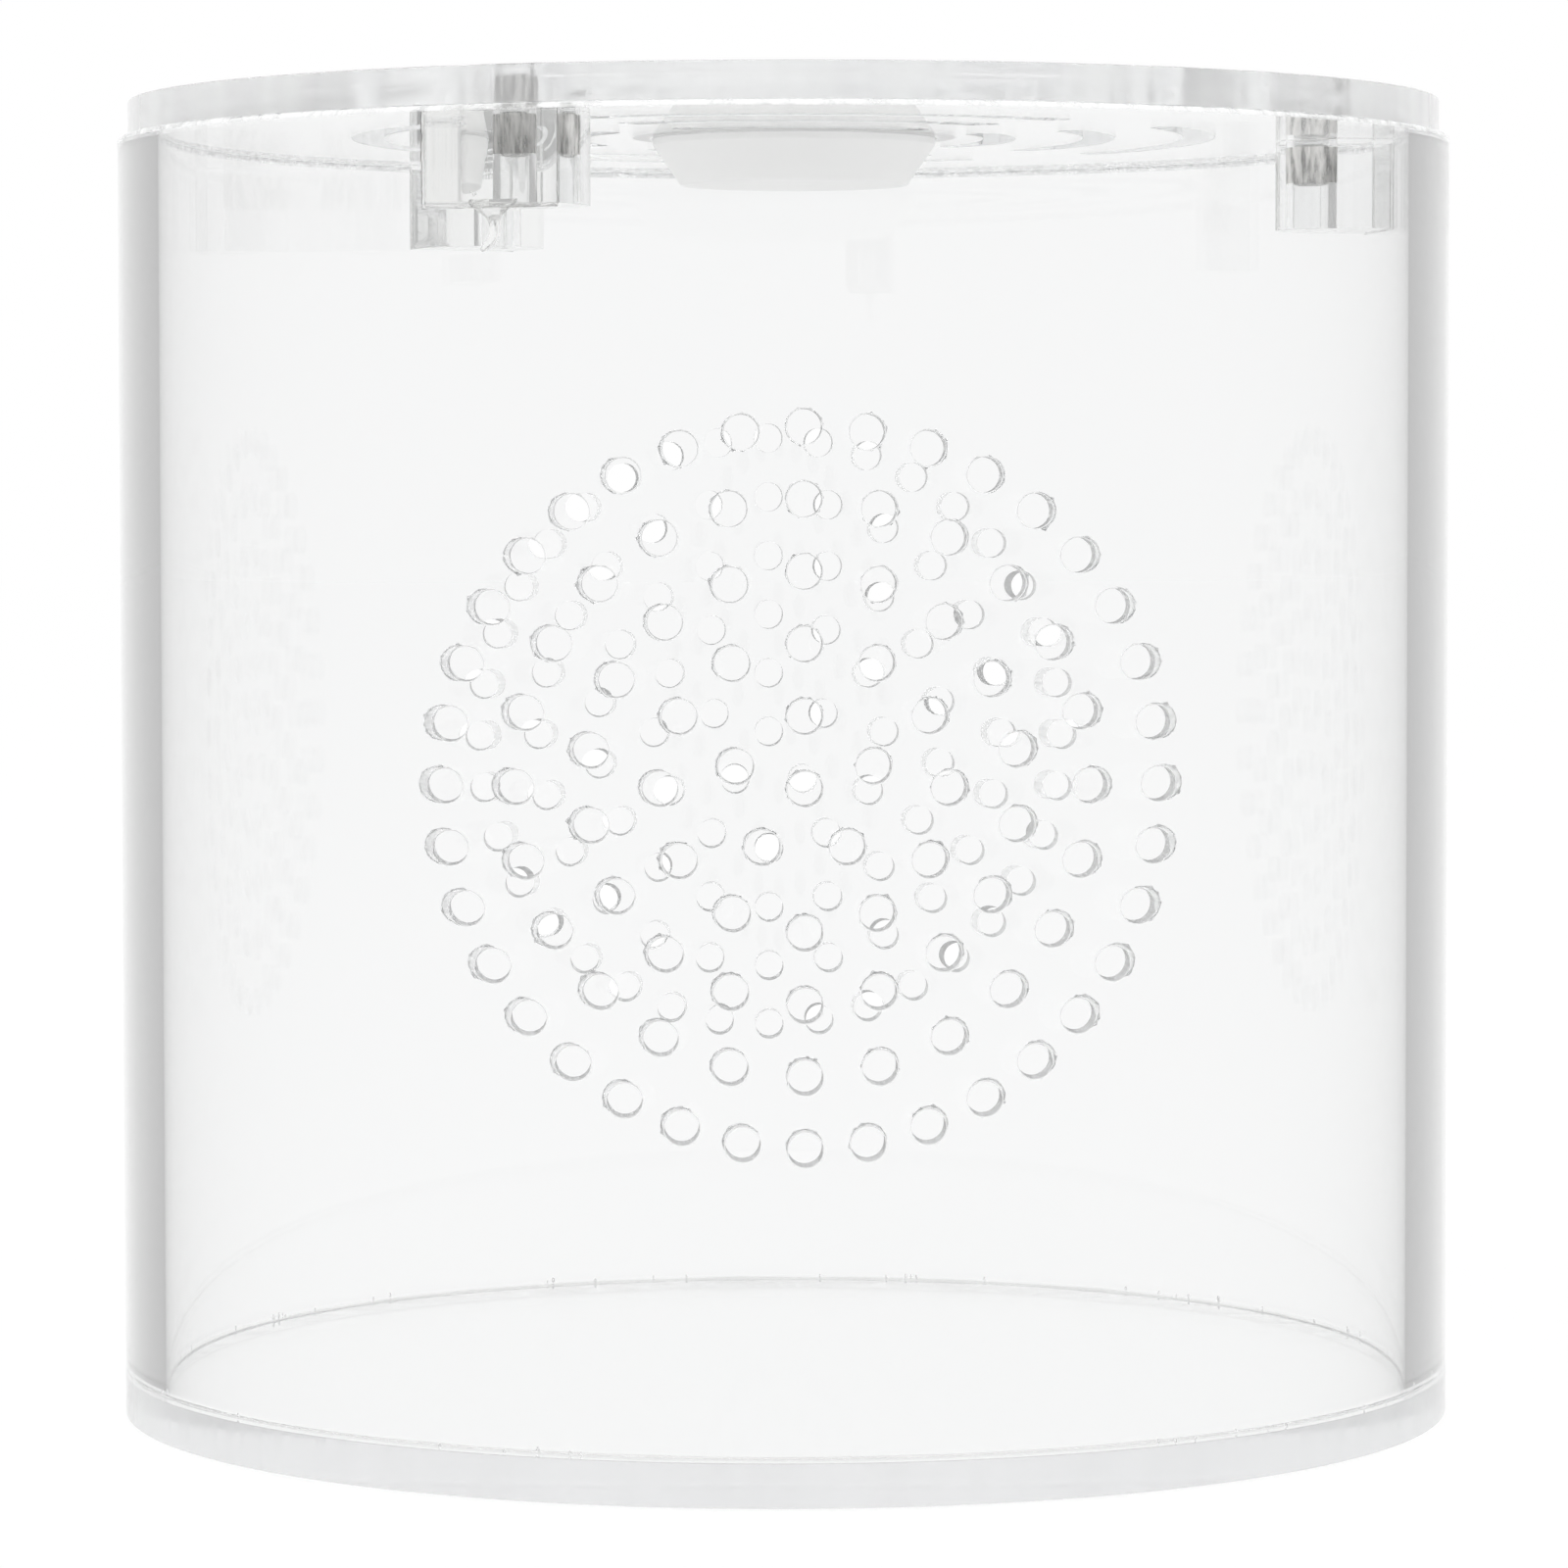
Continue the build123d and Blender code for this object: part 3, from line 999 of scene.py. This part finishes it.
def block_cement_patches(place):
    """Cement behind a block, as its outlines carried up from the block's bottom to near its top, and a
    hollow bead below the block, as the lowest outline widened inward and drawn back on to the wall. The
    level faces are fans from the outline's two corners at the block's back."""
    sizes = bpy.context.scene.enclosure_blocks
    low, high = BLOCK_BOTTOM + sizes.contact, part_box(f"block_cement_{place}")[1][2]
    heights = np.linspace(low, high, 25)
    outline = cement_outline(place, heights)
    plan = closed(placed_at(place, outline))
    grid, normals = raised(plan, heights[:, None]), facing_of(plan)
    corner = ARC_POINTS + BEAD_POINTS
    stretches = (
        (slice(0, ARC_POINTS), CLEAR),
        (slice(ARC_POINTS - 1, corner), DRIED),
        (slice(corner - 1, corner + 2), CLEAR),
        (slice(corner + 1, None), DRIED),
    )
    made = [patch(grid[:, stretch], normals[:, stretch], slot) for stretch, slot in stretches]
    fans = np.where(outline[-1, :, 1] >= 0, corner, corner + 1)
    made.append(flat_face(plan[-1, fans], plan[-1, :-1], high, 1))

    bend = np.linspace(0, pi / 2, 7)
    spread = 0.6 * sizes.bead * RUN_OUT[place]
    widened = outline[0].copy()
    widened[ARC_POINTS:, 0] -= spread
    on_wall = unit(widened) * np.hypot(*outline[0, 0])
    drawn = np.sin(bend)[:, None, None]
    below = closed(placed_at(place, widened * (1 - drawn) + on_wall * drawn))
    falls = low - sizes.contact - spread * (1 - np.cos(bend))
    hang = raised(below, falls[:, None])
    slope = facing_of(below) * np.cos(bend)[:, None, None] - UP * drawn
    top = raised(below[0], low)
    made += [
        patch(np.stack([top, raised(plan[0], low)]), UP),
        patch(np.stack([top, hang[0]]), facing_of(below[:1])),
        patch(hang, slope),
        flat_face(below[-1, fans], below[-1, :-1], falls[-1], -1),
    ]
    return made


def drip_patches():
    """Run of cement below the front block: upright sections of a lens that lies on the wall, wide where it
    leaves the block, drawn in to a thread that leans to one side, and round at its tip."""
    rows, columns = 33, 37
    top, length_down = BLOCK_BOTTOM + 0.3 * MM, 3.6 * MM
    thread, mouth, mouth_share, tip_share = 0.42 * MM, 1.35 * MM, 0.24, 0.14
    aside, lean, bow, bow_turn = 0.35 * MM, 1.5 * MM, 1.1 * MM, 2.2
    wrinkle, wrinkle_turn, thickness, film, fullness = 0.12, 9, 0.4, 0.02 * MM, 0.8
    wall = inner_radius() + bpy.context.scene.enclosure_blocks.contact
    fall = np.linspace(0, 1, rows)[:, None]
    height = top - fall * length_down
    half = thread + mouth * np.exp(-((fall / mouth_share) ** 2))
    half = half * (1 + wrinkle * np.sin(wrinkle_turn * fall))
    to_tip = np.clip((fall - (1 - tip_share)) / tip_share, 0, 1)
    half = half * np.sqrt(1 - to_tip**2)
    middle = aside - lean * fall + bow * np.sin(bow_turn * fall) ** 2
    depth = thickness * half + film
    turn = np.linspace(0, tau, columns)
    bulge = depth * np.maximum(np.sin(turn), 0) ** fullness
    centre, _, _ = block_axes("front")
    heading = atan2(centre[1], centre[0])
    grid = raised(loop_of(wall - bulge, heading + (middle + half * np.cos(turn)) / wall), height)
    facing = np.cross(np.gradient(grid, axis=1), np.gradient(grid, axis=0))
    facing /= np.maximum(np.linalg.norm(facing, axis=-1, keepdims=True), 1e-12)
    inside = raised(loop_of(wall - depth / 3, heading + middle / wall), height)
    if np.sum(facing * (grid - inside)) < 0:
        facing = -facing
    facing[:, -1] = facing[:, 0]
    facing[-1] = -UP
    rim = grid[0, :-1, :2]
    return [patch(grid, facing), flat_face(np.zeros_like(rim) + rim.mean(axis=0), rim, top, 1)]


def unit_ball():
    """Places on a small grid round a ball of radius 1."""
    columns, rows = 17, 9
    turn = np.linspace(0, tau, columns)
    tilt = np.linspace(-pi / 2, pi / 2, rows)[:, None]
    return raised(np.cos(tilt)[..., None] * loop_of(1.0, turn), np.sin(tilt))


def seam_bubble_patches(count, seed):
    """Air bubbles shut in the seam of tube and base: small upright ellipsoids in the wall just above the
    seam, whose faces look inward."""
    random = np.random.default_rng(seed)
    ball = unit_ball()
    tallness = 1.7
    made = []
    for turn in random.uniform(0, tau, count):
        size = random.uniform(0.07, 0.15) * MM
        out = np.array([cos(turn), sin(turn), 0.0])
        across = np.array([-sin(turn), cos(turn), 0.0])
        middle = out * (TUBE_RADIUS - random.uniform(0.3, 2.5) * MM) + UP * (SEAM_HEIGHT + 2 * size)
        turned_ball = ball @ np.stack([out, across, tallness * UP])
        made.append(patch(middle + size * turned_ball, -turned_ball))
    return made


def bubble_patches(place, count, seed):
    """Air bubbles shut in the cement behind a block: small flat ellipsoids whose faces look inward."""
    random = np.random.default_rng(seed)
    sizes = bpy.context.scene.enclosure_blocks
    ball = unit_ball()
    thick, off_wall = 0.035 * MM, 0.09 * MM
    made = []
    for _ in range(count):
        across = random.uniform(-0.5, 0.8) * sizes.half_width
        height = random.uniform(BLOCK_BOTTOM + 0.6 * MM, RIM_HEIGHT - 0.9 * MM)
        size = random.uniform(0.05, 0.13) * MM
        far = sqrt(inner_radius() ** 2 - across**2) - off_wall
        flat = np.stack([far + thick * ball[..., 0], across + size * ball[..., 1]], axis=-1)
        grid = raised(placed_at(place, flat), height + size * ball[..., 2])
        steep = ball / np.array([thick, size, size])
        normal = np.concatenate([placed_at(place, steep[..., :2]), steep[..., 2:]], axis=-1)
        made.append(patch(grid, -unit(normal), CLEAR))
    return made


# Operators, one for each piece or group of like pieces


class ENCLOSURE_OT_base(Operator):
    """Makes the base disc."""

    bl_idname = "enclosure.base"
    bl_label = "Base disc"

    def execute(self, context):
        finish = context.scene.enclosure_finish
        sheet = polished_acrylic()
        # The base's edge gets a darker tint than the lid's: partly its own frosted tint, partly painted shade
        edge = sawn_acrylic("base_sawn_edge_and_shade", finish.base_edge_tint_and_shade, finish.base_clearness)
        add_piece("base_plate", "tank", "base_disc", base_patches(), [sheet, edge])
        return {"FINISHED"}


class ENCLOSURE_OT_tube(Operator):
    """Makes the tube with its vents."""

    bl_idname = "enclosure.tube"
    bl_label = "Vented tube"

    def execute(self, context):
        finish = context.scene.enclosure_finish
        front = drilled_acrylic("drilled_acrylic", finish.drilled, finish.front_clearness, gloss=0.5)
        rear = drilled_acrylic("clean_drilled_acrylic", finish.cut, finish.rear_clearness, gloss=0.0)
        materials = [polished_acrylic(), front, rear, rubbed_acrylic()]
        add_piece("vented_tube", "tank", "tube", tube_patches(), materials)
        return {"FINISHED"}


class ENCLOSURE_OT_lid(Operator):
    """Makes the lid disc."""

    bl_idname = "enclosure.lid"
    bl_label = "Slotted lid"

    def execute(self, context):
        finish = context.scene.enclosure_finish
        edge = sawn_acrylic("sawn_lid_edge", finish.lid_edge, finish.lid_clearness)
        materials = [polished_acrylic(), edge, cut_acrylic()]
        add_piece("slotted_lid", "lid", "lid_disc", lid_patches(), materials)
        return {"FINISHED"}


class ENCLOSURE_OT_stopper(Operator):
    """Makes the stopper."""

    bl_idname = "enclosure.stopper"
    bl_label = "Feeding stopper"

    def execute(self, context):
        materials = [milky_silicone()]
        add_piece("soft_stopper", "stopper", "feeding_stopper", stopper_patches(), materials)
        return {"FINISHED"}


class ENCLOSURE_OT_blocks(Operator):
    """Makes the three magnet blocks."""

    bl_idname = "enclosure.blocks"
    bl_label = "Magnet blocks"

    def execute(self, context):
        materials = [polished_acrylic(), cut_acrylic()]
        for place in PLACES:
            node = f"magnet_block_{place}"
            add_piece(f"clear_block_{place}", "tank", node, block_patches(place), materials)
        return {"FINISHED"}


class ENCLOSURE_OT_magnets(Operator):
    """Makes the magnets in the blocks and in the lid."""

    bl_idname = "enclosure.magnets"
    bl_label = "Magnets"

    def execute(self, context):
        material = nickel_plating()
        for place in PLACES:
            for body, node in (("tank", f"block_magnet_{place}"), ("lid", f"lid_magnet_{place}")):
                add_piece(f"plated_{node}", body, node, magnet_patches(node), [material])
        return {"FINISHED"}


class ENCLOSURE_OT_cement(Operator):
    """Makes the cement in the seam and behind the blocks."""

    bl_idname = "enclosure.cement"
    bl_label = "Cement"

    def execute(self, context):
        materials = [dried_cement(), clear_cement()]
        seam = bead_patches() + seam_bubble_patches(count=60, seed=90)
        add_piece("seam_bead", "tank", "base_cement", seam, materials)
        for place in PLACES:
            patches = block_cement_patches(place)
            if place == "front":
                patches += drip_patches()
            if place != "rear":
                patches += bubble_patches(place, count=5, seed=70 + PLACES.index(place))
            add_piece(f"dried_cement_{place}", "tank", f"block_cement_{place}", patches, materials)
        return {"FINISHED"}


# Stage, light and camera


def calculated(tree, operation, *values):
    """Result of a Math node on sockets and plain numbers."""
    node = tree.nodes.new("ShaderNodeMath")
    node.operation = operation
    for socket, value in zip(node.inputs, values):
        if isinstance(value, (int, float)):
            socket.default_value = value
        else:
            tree.links.new(value, socket)
    return node.outputs["Value"]


def studio_strength(tree):
    """Strength at which the studio is seen: full, but dim for light that turned back inside one wall or
    sheet without crossing the chamber, or that crossed many faces, as through a magnet block. That draws
    the edges of clear plastic, as a studio's dark sides do, and it looks the same from every side."""
    finish = bpy.context.scene.enclosure_finish
    path = tree.nodes.new("ShaderNodeLightPath").outputs
    one_wall, give, many_faces = 2, 1.2, 6.5
    within = calculated(tree, "COMPARE", path["Transmission Depth"], one_wall, give)
    many = calculated(tree, "GREATER_THAN", path["Transmission Depth"], many_faces)
    either = calculated(tree, "MAXIMUM", within, many)
    turned_back = calculated(tree, "MINIMUM", path["Glossy Depth"], 1)
    loss = ranged(tree, path["Glossy Depth"], finish.edge_dimming, finish.deep_dimming, start=1, end=3)
    chosen = calculated(tree, "MULTIPLY", either, turned_back)
    sharp = calculated(tree, "LESS_THAN", path["Diffuse Depth"], 0.5)
    seen_sharp = calculated(tree, "MULTIPLY", chosen, sharp)
    dimming = calculated(tree, "MULTIPLY", seen_sharp, loss)
    crossed = ranged(tree, path["Transmission Depth"], 1, finish.through)
    return path, calculated(tree, "SUBTRACT", crossed, dimming)


def lit_and_seen(tree, path, lighting, seen, output):
    """Sends one shader to the rays that light a surface, and another to those that the eye follows: from
    the camera, off gloss or through glass."""
    either = calculated(tree, "MAXIMUM", path["Is Camera Ray"], path["Is Glossy Ray"])
    by_eye = calculated(tree, "MAXIMUM", either, path["Is Transmission Ray"])
    mix = tree.nodes.new("ShaderNodeMixShader")
    tree.links.new(by_eye, mix.inputs["Fac"])
    tree.links.new(lighting, mix.inputs[1])
    tree.links.new(seen, mix.inputs[2])
    tree.links.new(mix.outputs["Shader"], output.inputs["Surface"])


def white_world():
    """World that is white where it is seen and an even light elsewhere."""
    world = bpy.data.worlds.new("studio")
    bpy.context.scene.world = world
    world.use_nodes = True
    tree = world.node_tree
    light = tree.nodes["Background"]
    light.inputs["Color"].default_value = (1, 1, 1, 1)
    light.inputs["Strength"].default_value = 0.92
    seen = tree.nodes.new("ShaderNodeBackground")
    seen.inputs["Color"].default_value = (1, 1, 1, 1)
    path, strength = studio_strength(tree)
    tree.links.new(strength, seen.inputs["Strength"])
    output = tree.nodes["World Output"]
    lit_and_seen(tree, path, light.outputs["Background"], seen.outputs["Background"], output)


def white_floor():
    """Floor that is nearly white where it is seen, with a diffuse part that keeps the object's shadow."""
    glow_share, diffuse_share = 0.925, 0.08
    material = bpy.data.materials.new("pale_floor")
    material.use_nodes = True
    tree = material.node_tree
    tree.nodes.remove(tree.nodes["Principled BSDF"])
    plain = tree.nodes.new("ShaderNodeBsdfDiffuse")
    plain.inputs["Color"].default_value = (0.8, 0.8, 0.8, 1)
    shaded = tree.nodes.new("ShaderNodeBsdfDiffuse")
    glow = tree.nodes.new("ShaderNodeEmission")
    path, strength = studio_strength(tree)
    tree.links.new(ranged(tree, strength, 0.0, glow_share), glow.inputs["Strength"])
    tree.links.new(ranged(tree, strength, 0.0, diffuse_share), shaded.inputs["Color"])
    both = tree.nodes.new("ShaderNodeAddShader")
    tree.links.new(glow.outputs["Emission"], both.inputs[0])
    tree.links.new(shaded.outputs["BSDF"], both.inputs[1])
    output = tree.nodes["Material Output"]
    lit_and_seen(tree, path, plain.outputs["BSDF"], both.outputs["Shader"], output)
    return material


def add_floor():
    """Wide level floor, a little below the base so that the two don't share a plane."""
    half, drop = 4.0, 0.2 * MM
    grid = np.array([[(x, y, -drop) for x in (-half, half)] for y in (-half, half)])
    floor = bpy.data.objects.new("floor", mesh_from("floor", [patch(grid, UP)]))
    floor.data.materials.append(white_floor())
    bpy.context.scene.collection.objects.link(floor)


def add_area_light(name, place, size, power):
    """Soft square lamp that points at the middle of the object."""
    light = bpy.data.lights.new(name, "AREA")
    light.size = size
    light.energy = power
    lamp = bpy.data.objects.new(name, light)
    bpy.context.scene.collection.objects.link(lamp)
    aim = UP * RIM_HEIGHT / 2 - np.array(place)
    lamp.location = place
    lamp.rotation_euler = (atan2(hypot(aim[0], aim[1]), -aim[2]), 0, atan2(aim[1], aim[0]) - pi / 2)
    lamp.visible_transmission = False


def add_camera():
    """Camera of the photograph's view, which looks slightly down and is turned a little round the object."""
    distance, height, azimuth = 0.45693, 0.06939, radians(-1.6)
    pitch_down, roll = radians(2.817), radians(0.10)
    data = bpy.data.cameras.new("camera")
    data.lens = 138.4
    data.sensor_width = 36
    camera = bpy.data.objects.new("camera", data)
    bpy.context.scene.collection.objects.link(camera)
    camera.location = (distance * sin(azimuth), -distance * cos(azimuth), height)
    camera.rotation_euler = (pi / 2 - pitch_down, roll, azimuth)
    bpy.context.scene.camera = camera


class ENCLOSURE_OT_stage(Operator):
    """Makes the floor, the light and the camera of the photograph's view."""

    bl_idname = "enclosure.stage"
    bl_label = "Stage"

    def execute(self, context):
        add_floor()
        white_world()
        add_area_light("key_light", (-0.7, -0.8, 1.2), size=0.9, power=4)
        add_area_light("fill_light", (0.9, -0.5, 0.9), size=0.9, power=1.5)
        add_camera()
        bounces = 80
        context.scene.view_settings.view_transform = "Standard"
        context.scene.cycles.max_bounces = bounces
        context.scene.cycles.glossy_bounces = bounces
        context.scene.cycles.transmission_bounces = bounces
        context.scene.cycles.blur_glossy = 0
        return {"FINISHED"}


OPERATORS = (
    ENCLOSURE_OT_base,
    ENCLOSURE_OT_tube,
    ENCLOSURE_OT_lid,
    ENCLOSURE_OT_stopper,
    ENCLOSURE_OT_blocks,
    ENCLOSURE_OT_magnets,
    ENCLOSURE_OT_cement,
    ENCLOSURE_OT_stage,
)


class ENCLOSURE_PT_panel(Panel):
    """Lists the pieces of the enclosure."""

    bl_label = "Enclosure"
    bl_idname = "ENCLOSURE_PT_panel"
    bl_space_type = "VIEW_3D"
    bl_region_type = "UI"
    bl_category = "Enclosure"

    def draw(self, context):
        for operator in OPERATORS:
            self.layout.operator(operator.bl_idname)
        for group_name in GROUPS:
            box = self.layout.box()
            group = getattr(context.scene, group_name)
            for prop in group.bl_rna.properties:
                if prop.identifier not in ("rna_type", "name"):
                    box.prop(group, prop.identifier)


def register():
    for group_name, group in GROUPS.items():
        bpy.utils.register_class(group)
        setattr(bpy.types.Scene, group_name, PointerProperty(type=group))
    for made in (*OPERATORS, ENCLOSURE_PT_panel):
        bpy.utils.register_class(made)


def unregister():
    for made in reversed((*OPERATORS, ENCLOSURE_PT_panel)):
        bpy.utils.unregister_class(made)
    for group_name, group in GROUPS.items():
        delattr(bpy.types.Scene, group_name)
        bpy.utils.unregister_class(group)


def main():
    """Makes the whole scene."""
    register()
    bpy.ops.enclosure.base()
    bpy.ops.enclosure.tube()
    bpy.ops.enclosure.lid()
    bpy.ops.enclosure.stopper()
    bpy.ops.enclosure.blocks()
    bpy.ops.enclosure.magnets()
    bpy.ops.enclosure.cement()
    bpy.ops.enclosure.stage()


if __name__ == "__main__":
    main()
